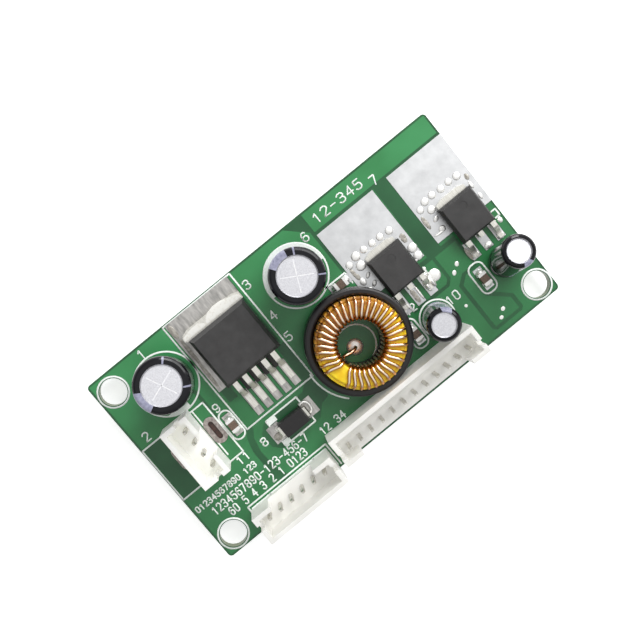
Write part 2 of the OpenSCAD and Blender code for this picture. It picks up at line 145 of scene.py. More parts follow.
# White paper sweep: it reads as plain white to the eye and in reflections, and still takes a shadow.
paper = bpy.data.materials.new("white_paper_sweep")
paper.use_nodes = True
paper.node_tree.nodes.clear()
rays = add(paper.node_tree, "ShaderNodeLightPath").outputs
seen = add(paper.node_tree, "ShaderNodeMath", {0: rays["Is Camera Ray"], 1: rays["Is Glossy Ray"]},
           operation="MAXIMUM").outputs[0]
seen = add(paper.node_tree, "ShaderNodeMath", {0: seen, 1: rays["Is Transmission Ray"]},
           operation="MAXIMUM").outputs[0]
matt = add(paper.node_tree, "ShaderNodeBsdfDiffuse", {"Color": linear("#f2f2f2")})
lift = add(paper.node_tree, "ShaderNodeEmission", {"Color": linear("#ffffff"), "Strength": 0.6})
lifted = add(paper.node_tree, "ShaderNodeAddShader", {0: matt.outputs[0], 1: lift.outputs[0]})
mixed = add(paper.node_tree, "ShaderNodeMixShader", {0: seen, 1: matt.outputs[0], 2: lifted.outputs[0]})
add(paper.node_tree, "ShaderNodeOutputMaterial", {"Surface": mixed.outputs[0]})
floor.data.materials.append(paper)

# ---- Materials ------------------------------------------------------------------------------------


def material(name, **base):
    """A new material with one Principled shader; base holds its plain values by socket name."""
    made = bpy.data.materials.new(name)
    made.use_nodes = True
    tree = made.node_tree
    tree.nodes.clear()
    values = {key.replace("_", " "): value for key, value in base.items()}
    shader = add(tree, "ShaderNodeBsdfPrincipled", values)
    add(tree, "ShaderNodeOutputMaterial", {"Surface": shader.outputs[0]})
    place = add(tree, "ShaderNodeTexCoord").outputs["Object"]
    return made, tree, shader, place


def noise(tree, place, size_mm, detail=2.0, rough=0.5):
    """Noise whose grains are about size_mm across."""
    return add(tree, "ShaderNodeTexNoise", {
        "Vector": place, "Scale": 1 / (size_mm * MM), "Detail": detail,
        "Roughness": rough}).outputs["Fac"]


def blend_colours(tree, factor, dark, light, low=0.35, high=0.65):
    """A colour between two hex colours as factor goes from low to high."""
    ramp = add(tree, "ShaderNodeValToRGB", {"Fac": factor})
    ramp.color_ramp.elements[0].position = low
    ramp.color_ramp.elements[0].color = linear(dark)
    ramp.color_ramp.elements[1].position = high
    ramp.color_ramp.elements[1].color = linear(light)
    return ramp.outputs["Color"]


def mixed_colour(tree, factor, first, second):
    """The first colour where factor is 0 and the second where it is 1."""
    mix = add(tree, "ShaderNodeMix", {"Factor": factor, "A": first, "B": second}, data_type="RGBA")
    return mix.outputs["Result"]


def step_along(tree, place, axis, start, stop):
    """0 to 1 as a board place in millimetres goes from start to stop along one axis."""
    origin = {"X": board_low.x, "Y": board_low.y, "Z": board_high.z}[axis]
    along = add(tree, "ShaderNodeSeparateXYZ", {"Vector": place}).outputs[axis]
    return add(tree, "ShaderNodeMapRange", {
        "Value": along, "From Min": origin + start * MM, "From Max": origin + stop * MM},
        interpolation_type="SMOOTHSTEP").outputs[0]


def set_input(tree, shader, name, value):
    """Link another node's output to one of the shader's sockets."""
    tree.links.new(value, shader.inputs[name])


def tint(tree, shader, factor, dark, light, low=0.35, high=0.65):
    """Colour the shader between two hex colours as factor goes from low to high."""
    set_input(tree, shader, "Base Color", blend_colours(tree, factor, dark, light, low, high))


def rough_between(tree, shader, factor, smooth, rough):
    """The shader's roughness goes from smooth to rough as factor goes from 0 to 1."""
    spread = add(tree, "ShaderNodeMapRange", {"Value": factor, "To Min": smooth, "To Max": rough})
    set_input(tree, shader, "Roughness", spread.outputs[0])


def rough_surface(tree, shader, height, depth_mm, strength=1.0):
    """Bump the shader by a height that runs from 0 to 1 over depth_mm."""
    bump = add(tree, "ShaderNodeBump", {"Height": height, "Distance": depth_mm * MM, "Strength": strength})
    set_input(tree, shader, "Normal", bump.outputs[0])


# Glass epoxy laminate, routed at its edges and covered with a screened green solder mask: a glossy
# deep green film on the faces, and pale straw-green cut glass fibre round the edge and in the holes.
laminate, tree, shader, place = material("solder_mask_on_laminate", Roughness=0.3, IOR=1.5)
facing = add(tree, "ShaderNodeSeparateXYZ", {
    "Vector": add(tree, "ShaderNodeNewGeometry").outputs["Normal"]}).outputs["Z"]
face = add(tree, "ShaderNodeMath", {0: facing}, operation="ABSOLUTE").outputs[0]
masked = add(tree, "ShaderNodeMath", {0: face, 1: 0.7}, operation="GREATER_THAN").outputs[0]
mask_colour = blend_colours(tree, noise(tree, place, 6.0), "#1b532f", "#256239")
# Glass cloth plies show as fine lines in the cut edge. A wave repeats every pi / 10 of its scaled length.
PLY_PITCH = 0.7107
plies = add(tree, "ShaderNodeTexWave", {
    "Vector": place, "Scale": math.pi / 10 / (PLY_PITCH * MM), "Distortion": 1.5, "Detail": 2.0,
    "Detail Scale": 4.0}, bands_direction="Z")
edge_colour = blend_colours(tree, plies.outputs["Fac"], "#50693f", "#7f8b5b", 0.2, 0.8)
set_input(tree, shader, "Base Color", mixed_colour(tree, masked, edge_colour, mask_colour))
rough_surface(tree, shader, noise(tree, place, 1.4), 0.01, 0.5)

# The same solder mask where it lies over copper: the metal below sends light back through the film, so it
# looks a brighter, yellower green. Towards the rear it is painted lighter still, as painted light.
pour_mask, tree, shader, place = material("solder_mask_on_copper", Roughness=0.27, IOR=1.5)
front_mask = blend_colours(tree, noise(tree, place, 9.0), "#2a703f", "#337f4b")
lit_rear_mask = blend_colours(tree, noise(tree, place, 9.0), "#33874c", "#3f965a")
# Painted light: the mask's colour grows lighter towards the rear.
painted_light_rearward = step_along(tree, place, "Y", 12, 31)
set_input(tree, shader, "Base Color", mixed_colour(tree, painted_light_rearward, front_mask, lit_rear_mask))
rough_surface(tree, shader, noise(tree, place, 1.8), 0.01, 0.5)

# Screen printed epoxy legend ink: thin, matt white with a trace of the green below it.
legend_ink, tree, shader, place = material("legend_ink", Roughness=0.55, IOR=1.5)
tint(tree, shader, noise(tree, place, 0.25), "#eef8f0", "#fcfffc")

# Hot air levelled tin: a bright, slightly lumpy film with darker streaks. It is painted grey on the left
# pad as painted shade, and almost white on the right as painted light.
tinned, tree, shader, place = material("hot_air_levelled_tin", Metallic=1.0)
stretched = add(tree, "ShaderNodeMapping", {"Vector": place, "Scale": (1.0, 0.22, 1.0)}).outputs[0]
streaked_shaded_tin = blend_colours(tree, noise(tree, stretched, 0.55, 4.0, 0.6), "#979693", "#dbd8d4", 0.3, 0.7)
bright = blend_colours(tree, noise(tree, place, 1.8, 3.0), "#d2d3d4", "#e3e4e5", 0.3, 0.7)
# Painted shade on the left pad fading to painted light on the right.
set_input(tree, shader, "Base Color",
          mixed_colour(tree, step_along(tree, place, "X", 28, 38), streaked_shaded_tin, bright))
rough_between(tree, shader, noise(tree, place, 1.6, 3.0), 0.3, 0.5)
rough_surface(tree, shader, noise(tree, place, 0.8, 3.0), 0.02, 0.5)

# Reflowed tin-lead solder: bright rounded metal under a fine frost, which spreads the highlight of
# each lump and leaves a thin darker rim.
solder, tree, shader, place = material("reflowed_solder", Metallic=0.85, Base_Color=linear("#fbfaf7"))
frost = noise(tree, place, 0.3, 3.0)
rough_between(tree, shader, frost, 0.36, 0.5)
rough_surface(tree, shader, frost, 0.02, 0.5)

# Solder that ran over the large tab: thick, cream-white and frosted, with faint dull specks.
tab_solder, tree, shader, place = material("frosted_tab_solder", Metallic=0.15)
frost = noise(tree, place, 0.35, 4.0, 0.6)
tint(tree, shader, frost, "#f1eee4", "#fffef8", 0.3, 0.5)
rough_between(tree, shader, frost, 0.35, 0.55)
rough_surface(tree, shader, frost, 0.03, 0.6)

# Copper-alloy leads under electroplated tin: pale and slightly cream, with fine drawn lines along
# the strip that stretch the highlight.
lead_plate, tree, shader, place = material("tin_plated_leads", Metallic=1.0)
lengthwise = add(tree, "ShaderNodeMapping", {"Vector": place, "Scale": (1.0, 0.12, 1.0)}).outputs[0]
drawn = noise(tree, lengthwise, 0.12, 3.0)
tint(tree, shader, drawn, "#dbd9d0", "#f6f4ec", 0.3, 0.7)
rough_between(tree, shader, drawn, 0.26, 0.42)
rough_surface(tree, shader, drawn, 0.006, 0.6)

# Header pins: square drawn brass wire under thin dull tin, darker than the leads.
pin_plate, tree, shader, place = material("dull_tinned_pins", Metallic=1.0, Roughness=0.4)
tint(tree, shader, noise(tree, place, 0.3), "#c4c2bb", "#e2e0d9")

# A thin grey-brown glaze on tin, through which the metal still glints.
grey_brown_glaze, tree, shader, place = material("grey_brown_glaze_on_tin", Roughness=0.45, Metallic=0.6)
tint(tree, shader, noise(tree, place, 0.45, 4.0, 0.65), "#8a857c", "#cbc7be", 0.3, 0.7)
rough_surface(tree, shader, noise(tree, place, 0.3, 3.0), 0.02, 0.6)

# Painted shade between the large leads: olive black and glassy, where the body and leads shade the board.
painted_shade_film, tree, shader, place = material("painted_shade_between_leads", Roughness=0.3, IOR=1.54)
tint(tree, shader, noise(tree, place, 0.4), "#0e0e08", "#1f2012")

# A thick, dark brown fill for the plated slots.
slot_fill, tree, shader, place = material("dark_brown_slot_fill", Roughness=0.4, IOR=1.54)
tint(tree, shader, noise(tree, place, 0.5), "#321d16", "#4d3128")

# Slot lands: tin oxidised to a pinkish grey.
slot_land, tree, shader, place = material("oxidised_tin", Metallic=0.6, Roughness=0.45)
tint(tree, shader, noise(tree, place, 0.4, 3.0), "#8d8480", "#b9b0aa")

# Black glass-filled nylon, moulded: satin, with a slight cloudy haze.
holder_nylon, tree, shader, place = material("black_moulded_nylon", IOR=1.53)
haze = noise(tree, place, 3.0, 3.0)
tint(tree, shader, haze, "#100e10", "#1b181b")
rough_between(tree, shader, haze, 0.32, 0.48)
rough_surface(tree, shader, noise(tree, place, 0.12), 0.008, 0.5)

# Yellow epoxy powder coat baked on pressed iron powder: smooth, glossy and strongly coloured. Towards the
# rear it is painted a darker amber in patches: painted shade, where the turns shade the coat between them.
core_coat, tree, shader, place = material("yellow_epoxy_coat", Roughness=0.35, IOR=1.5)
lit_yellow_coat = blend_colours(tree, noise(tree, place, 1.2), "#f5c800", "#ffe024")
shaded_amber_coat = blend_colours(tree, noise(tree, place, 0.9), "#a56a12", "#dba22c")
# Painted shade: amber patches over the rear of the coat.
painted_shade_rearward = add(tree, "ShaderNodeMath", {
    0: step_along(tree, place, "Y", 12.5, 17), 1: noise(tree, place, 2.5)}, operation="ADD").outputs[0]
painted_shade_rearward = add(tree, "ShaderNodeMapRange", {
    "Value": painted_shade_rearward, "From Min": 0.75, "From Max": 1.25}).outputs[0]
set_input(tree, shader, "Base Color", mixed_colour(tree, painted_shade_rearward, lit_yellow_coat, shaded_amber_coat))
rough_surface(tree, shader, noise(tree, place, 0.3), 0.02, 0.4)

# Polyurethane enamelled copper wire: clear lacquer over bright drawn copper. Its colour is painted by how
# the surface faces: cream on the upward crowns of the runs as a painted highlight, and amber down their
# sides as painted shade.
enamelled_wire, tree, shader, place = material(
    "enamelled_copper_wire", Metallic=1.0, Coat_Weight=1.0, Coat_Roughness=0.08, Coat_IOR=1.55)
upward = add(tree, "ShaderNodeSeparateXYZ", {
    "Vector": add(tree, "ShaderNodeNewGeometry").outputs["Normal"]}).outputs["Z"]
# Painted highlight where the wire faces up, painted shade where it faces sideways.
painted_crown_highlight = add(tree, "ShaderNodeMapRange", {
    "Value": upward, "From Min": 0.72, "From Max": 0.98}, interpolation_type="SMOOTHSTEP").outputs[0]
shaded_side_amber = blend_colours(tree, noise(tree, place, 0.8, 3.0), "#c67d2e", "#ea9f3f")
lit_crown_cream = blend_colours(tree, noise(tree, place, 0.6, 3.0), "#ffe3bf", "#fff3e0")
set_input(tree, shader, "Base Color", mixed_colour(tree, painted_crown_highlight, shaded_side_amber, lit_crown_cream))
rough_between(tree, shader, noise(tree, place, 0.4), 0.24, 0.32)

# Injection moulded nylon, natural white and softly see-through. It has a low even glow, painted light that
# keeps its shaded hollows pale.
header_nylon, tree, shader, place = material(
    "natural_white_nylon", Roughness=0.4, IOR=1.53, Subsurface_Weight=0.5, Subsurface_Scale=0.0015,
    Subsurface_Radius=(1.0, 0.97, 0.9), Emission_Color=linear("#fffef8"), Emission_Strength=0.13)
tint(tree, shader, noise(tree, place, 4.0), "#f6f6ef", "#fdfdf8")
rough_surface(tree, shader, noise(tree, place, 0.2), 0.006, 0.5)

# The two longer headers are coloured a greyer white of the same nylon, with the same painted glow.
grey_nylon, tree, shader, place = material(
    "greyed_white_nylon", Roughness=0.4, IOR=1.53, Subsurface_Weight=0.4, Subsurface_Scale=0.0012,
    Subsurface_Radius=(1.0, 1.0, 0.92), Emission_Color=linear("#fffffb"), Emission_Strength=0.13)
tint(tree, shader, noise(tree, place, 4.0), "#dddcd7", "#eae9e4")
rough_surface(tree, shader, noise(tree, place, 0.2), 0.006, 0.5)

# Drawn aluminium can, left plain: pale grey with a fine frosted grain on the pressed top.
can_metal, tree, shader, place = material("drawn_aluminium", Metallic=1.0)
grain = noise(tree, place, 0.18, 3.0, 0.7)
tint(tree, shader, grain, "#d4d4d9", "#f1f1f5", 0.3, 0.7)
rough_between(tree, shader, grain, 0.38, 0.55)
rough_surface(tree, shader, grain, 0.012, 0.6)

# Wound paper and foil, inside the can.
foil_roll, tree, shader, place = material("foil_and_paper_roll", Roughness=0.8)
tint(tree, shader, noise(tree, place, 0.4), "#a08a5c", "#c0aa7c")

# Moulded butyl rubber seal: matt black.
bung_rubber, tree, shader, place = material("butyl_rubber", Roughness=0.85)
tint(tree, shader, noise(tree, place, 0.3), "#161616", "#222222")

# Silica-filled epoxy, transfer moulded against an eroded tool: matt charcoal grey, finely grained.
mould_epoxy, tree, shader, place = material("transfer_moulded_epoxy", IOR=1.52)
grit = noise(tree, place, 0.1, 3.0, 0.7)
cloud = noise(tree, place, 1.5, 3.0)
tint(tree, shader, cloud, "#323131", "#3d3c3c", 0.3, 0.7)
rough_between(tree, shader, grit, 0.5, 0.68)
rough_surface(tree, shader, grit, 0.02, 0.6)

# The diode's moulding is a blacker grade of the same epoxy.
diode_epoxy, tree, shader, place = material("black_moulded_epoxy", IOR=1.52)
grit = noise(tree, place, 0.12, 3.0, 0.7)
tint(tree, shader, grit, "#0c0a0b", "#1c191b", 0.3, 0.7)
rough_between(tree, shader, grit, 0.4, 0.6)
rough_surface(tree, shader, grit, 0.02, 0.6)

# Fired barium titanate ceramic: matt brown-grey.
chip_ceramic, tree, shader, place = material("fired_ceramic", Roughness=0.5, IOR=1.6)
tint(tree, shader, noise(tree, place, 0.2), "#57463a", "#77614f")

# Burnished metal left by the press in the scored vents of the two large cans.
vent_metal, tree, shader, place = material("burnished_aluminium", Metallic=1.0, Roughness=0.6)
tint(tree, shader, noise(tree, place, 0.3), "#f4f4f8", "#ffffff")

# The cans' sleeves differ only in their print: (node, heading of the pale stripe, half its width,
# headings of the small rim marks), all in degrees. The print is put on the film before it shrinks.
SLEEVES = [("capacitor_1", 176, 29, (48, 330)), ("capacitor_2", 103, 23, (62, 328)),
           ("capacitor_3", 60, 20, ()), ("capacitor_4", 272, 30, ())]
BAR_PITCH = 6.4
BAR_HALF = 0.35
BAR_SHARE = 0.55
RIM_BAND = 0.9
TICK_HALF_DEGREES = 1.925


def within(tree, value, limit):
    """1 where a value lies below a limit, else 0."""
    return add(tree, "ShaderNodeMath", {0: value, 1: limit}, operation="LESS_THAN").outputs[0]


def both(tree, first, second, how="MULTIPLY"):
    """Two masks made into one: their overlap, unless how names another operation."""
    return add(tree, "ShaderNodeMath", {0: first, 1: second}, operation=how).outputs[0]


def angle_off(tree, local, heading):
    """How far round the can's axis a place lies from a heading in degrees, to either side."""
    turned = add(tree, "ShaderNodeVectorRotate", {
        "Vector": local, "Angle": math.radians(-heading)}, rotation_type="Z_AXIS").outputs[0]
    axes = add(tree, "ShaderNodeSeparateXYZ", {"Vector": turned}).outputs
    turn = add(tree, "ShaderNodeMath", {0: axes["Y"], 1: axes["X"]}, operation="ARCTAN2").outputs[0]
    return add(tree, "ShaderNodeMath", {0: turn}, operation="ABSOLUTE").outputs[0]


def sleeve_film(node, heading, half_width, marks):
    """Near-black shrunk film, glossy and a little rippled, which gives one crisp bright line round the
    rim. A pale stripe with minus bars runs down one side, and short plain ticks stand at the rim."""
    low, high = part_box(node + "_can")
    made, tree, shader, place = material(node + "_sleeve_film", Roughness=0.14, IOR=1.38)
    centre = (low + high) / 2
    local = add(tree, "ShaderNodeMapping", {
        "Vector": place, "Location": tuple(-centre)}, vector_type="POINT").outputs[0]
    height = add(tree, "ShaderNodeSeparateXYZ", {"Vector": local}).outputs["Z"]
    spread = angle_off(tree, local, heading)
    stripe = within(tree, spread, math.radians(half_width))
    # One minus bar in each BAR_PITCH of height, over the middle of the stripe.
    beat = add(tree, "ShaderNodeMath", {0: height, 1: BAR_PITCH / 2 * MM}, operation="PINGPONG").outputs[0]
    minus = both(tree, within(tree, beat, BAR_HALF * MM),
                 within(tree, spread, math.radians(half_width * BAR_SHARE)))
    printed = both(tree, stripe, minus, "SUBTRACT")
    rim = add(tree, "ShaderNodeMath", {
        0: height, 1: (high.z - low.z) / 2 - RIM_BAND * MM}, operation="GREATER_THAN").outputs[0]
    for mark in marks:
        tick = within(tree, angle_off(tree, local, mark), math.radians(TICK_HALF_DEGREES))
        printed = both(tree, printed, both(tree, tick, rim), "MAXIMUM")
    film = blend_colours(tree, noise(tree, place, 2.0), "#08080d", "#101017")
    ink = blend_colours(tree, noise(tree, place, 0.4), "#8b8ca4", "#a9aac0")
    set_input(tree, shader, "Base Color", mixed_colour(tree, printed, film, ink))
    rough_surface(tree, shader, noise(tree, place, 1.2, 2.0), 0.02, 0.3)
    return made


FINISHES = {
    "circuit_board": laminate, "tinned_pads": tinned, "plated_slots": slot_land,
    "solder_bumps": solder, "solder_joints": solder, "inductor_holder": holder_nylon,
    "inductor_core": core_coat, "inductor_winding": enamelled_wire, "diode_body": diode_epoxy,
    "diode_terminals": lead_plate, "chip_bodies": chip_ceramic, "chip_ends": solder,
    "header_12_housing": grey_nylon, "header_6_housing": grey_nylon}
# The other nodes take their finish by how their name ends.
ENDINGS = {
    "_can": can_metal, "_roll": foil_roll, "_bung": bung_rubber, "_leads": lead_plate, "_tab": lead_plate,
    "_housing": header_nylon, "_pins": pin_plate, "_body": mould_epoxy}
for node, *print_places in SLEEVES:
    FINISHES[node + "_sleeve"] = sleeve_film(node, *print_places)
for name, cad_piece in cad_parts.items():
    finish = FINISHES.get(name) or next(m for ending, m in ENDINGS.items() if name.endswith(ending))
    for slot in cad_piece.material_slots:
        slot.material = finish

# ---- Making pieces --------------------------------------------------------------------------------


def keep(piece):
    """The piece rides on the board, attached to its root body."""
    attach(piece, "root")
    return piece


def new_piece(name, mesh):
    made = bpy.data.objects.new(name, mesh)
    bpy.context.scene.collection.objects.link(made)
    return made


def paint(piece, finish):
    """Give a whole piece one finish."""
    piece.data.materials.clear()
    piece.data.materials.append(finish)
    return piece


def added(name, mesh, finish):
    """A new finished piece of one material."""
    return keep(paint(new_piece(name, mesh), finish))


def applied(piece):
    """Turn a piece and its modifiers into one plain mesh at the origin."""
    graph = bpy.context.evaluated_depsgraph_get()
    mesh = bpy.data.meshes.new_from_object(piece.evaluated_get(graph))
    piece.modifiers.clear()
    piece.data = mesh
    return piece


def new_tree(name, sizes):
    """A geometry tree with a Geometry input, one named input per size, and its starting outputs."""
    tree = bpy.data.node_groups.new(name, "GeometryNodeTree")
    tree.interface.new_socket("Geometry", in_out="INPUT", socket_type="NodeSocketGeometry")
    for label, value in sizes.items():
        kind = "NodeSocketInt" if isinstance(value, int) else "NodeSocketFloat"
        tree.interface.new_socket(label, in_out="INPUT", socket_type=kind).default_value = value
    tree.interface.new_socket("Geometry", in_out="OUTPUT", socket_type="NodeSocketGeometry")
    return tree, add(tree, "NodeGroupInput").outputs


def close_tree(tree, geometry, finish):
    """Every tree ends the same way: real meshes with their material set."""
    real = add(tree, "GeometryNodeRealizeInstances", {"Geometry": geometry}).outputs[0]
    painted = add(tree, "GeometryNodeSetMaterial", {"Geometry": real, "Material": finish}).outputs[0]
    add(tree, "NodeGroupOutput", {"Geometry": painted})
    return tree


def grown(name, source, tree, sizes=None):
    """Run a geometry tree on a mesh, with sizes by input name, and keep the result as a plain mesh."""
    piece = new_piece(name, source)
    modifier = piece.modifiers.new(tree.name, "NODES")
    modifier.node_group = tree
    for item in tree.interface.items_tree:
        if item.in_out == "INPUT" and item.name in (sizes or {}):
            modifier[item.identifier] = sizes[item.name]
    return applied(piece)


def polylines(name, lines):
    """A mesh of loose edges: each line is a list of points, closed where it ends on its first point."""
    points, edges = [], []
    for line in lines:
        closed = (Vector(line[0]) - Vector(line[-1])).length < 1e-7
        run = line[:-1] if closed else line
        first = len(points)
        points += [tuple(p) for p in run]
        edges += [(first + i, first + i + 1) for i in range(len(run) - 1)]
        if closed:
            edges.append((first + len(run) - 1, first))
    mesh = bpy.data.meshes.new(name)
    mesh.from_pydata(points, edges, [])
    return mesh


# ---- Copper pour under the mask -------------------------------------------------------------------


def solid_boxes(node):
    """The lowest and highest corner of each separate solid of a CAD node, from left to right."""
    form = bmesh.new()
    form.from_mesh(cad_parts[node].data)
    bmesh.ops.remove_doubles(form, verts=form.verts, dist=1e-6)
    boxes, left = [], set(form.verts)
    while left:
        stack, group = [left.pop()], []
        while stack:
            vert = stack.pop()
            group.append(vert.co.copy())
            for edge in vert.link_edges:
                other = edge.other_vert(vert)
                if other in left:
                    left.remove(other)
                    stack.append(other)
        boxes.append((Vector(map(min, *group)), Vector(map(max, *group))))
    form.free()
    return sorted(boxes, key=lambda box: tuple(box[0]))


def prism(form, outline, low, high):
    """Add a closed upright prism over a flat outline of (x, y) points."""
    bottom = [form.verts.new((p[0], p[1], low)) for p in outline]
    cap = [form.verts.new((p[0], p[1], high)) for p in outline]
    form.faces.new(list(reversed(bottom)))
    form.faces.new(cap)
    count = len(outline)
    for i in range(count):
        form.faces.new([bottom[i], bottom[(i + 1) % count], cap[(i + 1) % count], cap[i]])


def circle_points(centre, radius, count=48, start=0.0, sweep=360.0):
    """Points on an arc, in board millimetres."""
    steps = count if abs(sweep) >= 360 else count + 1
    return [(centre[0] + radius * math.cos(math.radians(start + sweep * i / count)),
             centre[1] + radius * math.sin(math.radians(start + sweep * i / count))) for i in range(steps)]


def plates(name, outlines, low, high):
    """One mesh of upright prisms over outlines given in board millimetres."""
    form = bmesh.new()
    for outline in outlines:
        flat = [on_board(x, y) for x, y in outline]
        area = sum(a.x * b.y - b.x * a.y for a, b in zip(flat, flat[1:] + flat[:1]))
        if area < 0:
            flat.reverse()
        prism(form, flat, board_high.z + low * MM, board_high.z + high * MM)
    mesh = bpy.data.meshes.new(name)
    form.to_mesh(mesh)
    form.free()
    return mesh


def box_points(x0, y0, x1, y1):
    """The four corners of an upright box's plan."""
    return [(x0, y0), (x1, y0), (x1, y1), (x0, y1)]


def flat_box(low, high, margin=0.0):
    """Left, front, right and rear of a CAD box in board millimetres, widened by a margin."""
    return ((low.x - board_low.x) / MM - margin, (low.y - board_low.y) / MM - margin,
            (high.x - board_low.x) / MM + margin, (high.y - board_low.y) / MM + margin)


def stadium(middle, front, rear, radius):
    """A slot's outline along Y between its two round ends' outermost points."""
    return (circle_points((middle, front + radius), radius, 12, 180, 180) +
            circle_points((middle, rear - radius), radius, 12, 0, 180))


BOARD_W = (board_high.x - board_low.x) / MM
BOARD_D = (board_high.y - board_low.y) / MM
HOLES = [(2.55, 2.5), (BOARD_W - 2.4, 2.5), (2.55, BOARD_D - 2.9)]
HOLE_CLEARING = 2.15
COPPER_LIFT = 0.035
COPPER_EDGE = 0.3
PAD_GAP = 0.08
SLOT_GAP = 0.06

# Strips and fields where the copper was etched away, in board millimetres.
BARE = [
    box_points(0.4, 11, 9, 20),
    box_points(11.2, 16.5, 11.75, 22.2),
    [(12.3, 3.4), (14.5, 3.4), (13.4, 5.8), (13.2, 9.2), (13.7, 11.4), (14.4, 12.4), (14.4, 13.1),
     (13.6, 13.1), (12.8, 11.8), (12.3, 9.8)],
    [(14.9, 8.7), (16, 7.55), (23, 7.55), (24.4, 9), (25.9, 9.4), (25.9, 19.5), (24.4, 19.5), (24.4, 13),
     (23.3, 12.1), (16.1, 12.1), (14.9, 11)],
    box_points(14.3, 17.6, 15.8, 19.9),
    [(35.75, 31.9), (37.9, 29.8), (38.6, 29.2), (38.6, 21.7), (39.15, 21.7), (39.15, 31.9)],
    box_points(39, 28.35, BOARD_W - COPPER_EDGE, 28.8),
    box_points(49.5, 15.1, 52, 28.5),
    box_points(48, 15.05, 54.5, 15.75),
    [(43, 10.45), (49.5, 10.45), (50.35, 11.3), (50.35, 15.2), (49.85, 15.2), (49.85, 11.5),
     (49.3, 10.95), (43, 10.95)],
    box_points(54.1, 10.6, 54.6, 15.2),
    # Ring-shaped gap round the island beside the right-hand chip.
    [(50.5, 1.6), (51, 1.0), (55.6, 1.0), (56.1, 1.4), (56.1, 3.7), (53.2, 6.4), (52.75, 6.0),
     (55.5, 3.5), (55.5, 1.5), (51.1, 1.5), (51.1, 9.2), (52.3, 10.2), (54.6, 10.2), (54.6, 10.7),
     (52, 10.7), (50.5, 9.5)],
]

pour_outline = box_points(COPPER_EDGE, COPPER_EDGE, BOARD_W - COPPER_EDGE, BOARD_D - COPPER_EDGE)
pour = new_piece("masked_copper_pour", plates("pour", [pour_outline], 0.0, COPPER_LIFT))
cutters = BARE + [circle_points(hole, HOLE_CLEARING, 40) for hole in HOLES]
cutters += [box_points(*flat_box(low, high, PAD_GAP)) for low, high in solid_boxes("tinned_pads")]
for low, high in solid_boxes("plated_slots"):
    if high.z > board_high.z:
        x0, y0, x1, y1 = flat_box(low, high)
        cutters.append(stadium((x0 + x1) / 2, y0 - SLOT_GAP, y1 + SLOT_GAP, (x1 - x0) / 2 + SLOT_GAP))
cut = new_piece("etched_gaps", plates("etched_gaps", cutters, low=-0.02, high=0.1))
etch = pour.modifiers.new("etch", "BOOLEAN")
etch.object = cut
etch.operation = "DIFFERENCE"
etch.solver = "EXACT"
etch.use_self = True
applied(pour)
bpy.data.objects.remove(cut)
keep(paint(pour, pour_mask))

# ---- Printed legend -------------------------------------------------------------------------------

INK_LIFT = COPPER_LIFT + 0.002
INK_THICK = 0.02

# Pen-stroke numerals on a grid 4 wide and 6 high.
NUMERALS = {
    "0": [[(1.2, 0), (0, 1), (0, 5), (1, 6), (3, 6), (4, 5), (4, 1), (3, 0), (0.9, 0)]],
    "1": [[(0.8, 4.6), (2.2, 6), (2.2, 0)]],
    "2": [[(0, 5), (1, 6), (3, 6), (4, 5), (4, 3.8), (0, 0), (4, 0)]],
    "3": [[(0, 5.2), (1, 6), (3, 6), (4, 5), (4, 4), (3, 3.2), (1.5, 3.2)],
          [(3, 3.2), (4, 2.3), (4, 1), (3, 0), (1, 0), (0, 0.9)]],
    "4": [[(3, 0), (3, 6)], [(3, 6), (0, 2)], [(0, 2), (4.2, 2)]],
    "5": [[(3.8, 6), (0.4, 6), (0.1, 3.3), (1, 3.7), (3, 3.7), (4, 2.8), (4, 1), (3, 0), (1, 0),
           (0, 0.9)]],
    "6": [[(3.6, 5.3), (2.8, 6), (1.2, 6), (0, 4.6), (0, 1), (1, 0), (3, 0), (4, 1), (4, 2.5), (3, 3.5),
           (1, 3.5), (0, 2.6)]],
    "7": [[(0, 6), (4, 6), (1.4, 0)]],
    "8": [[(1, 3.2), (0, 4), (0, 5.2), (1, 6), (3, 6), (4, 5.2), (4, 4), (3, 3.2), (1, 3.2), (0, 2.3),
           (0, 0.9), (1, 0), (3, 0), (4, 0.9), (4, 2.3), (3, 3.2)]],
    "9": [[(0.4, 0.7), (1.2, 0), (2.8, 0), (4, 1.4), (4, 5), (3, 6), (1, 6), (0, 5), (0, 3.5), (1, 2.5),
           (3, 2.5), (4, 3.4)]],
    "-": [[(0.4, 3), (3.6, 3)]],
}
GRID_WIDE, GRID_TALL = 4, 6


def numerals(text, x, y, height, advance=None):
    """Strokes for a row of plain numerals that starts at (x, y), in board millimetres."""
    advance = advance or height * 0.95
    wide, tall = advance * 0.64 / GRID_WIDE, height / GRID_TALL
    lines = []
    for place, mark in enumerate(text):
        left = x + place * advance
        lines += [[(left + u * wide, y + v * tall) for u, v in stroke]
                  for stroke in NUMERALS.get(mark, [])]
    return lines


def box_line(x0, y0, x1, y1):
    """A rectangle that ends on its first corner."""
    return box_points(x0, y0, x1, y1) + [(x0, y0)]


def ring(centre, radius, count=64):
    """A circle that ends on its first point."""
    points = circle_points(centre, radius, count)
    return points + points[:1]


def rounded_box(x0, y0, x1, y1, r):
    """A closed outline with round corners."""
    centres = box_points(x0 + r, y0 + r, x1 - r, y1 - r)
    corners = [point for i in (2, 3, 0, 1)
               for point in circle_points(centres[i], r, 6, (i - 2) % 4 * 90, 90)]
    return corners + [(x1, y1 - r)]


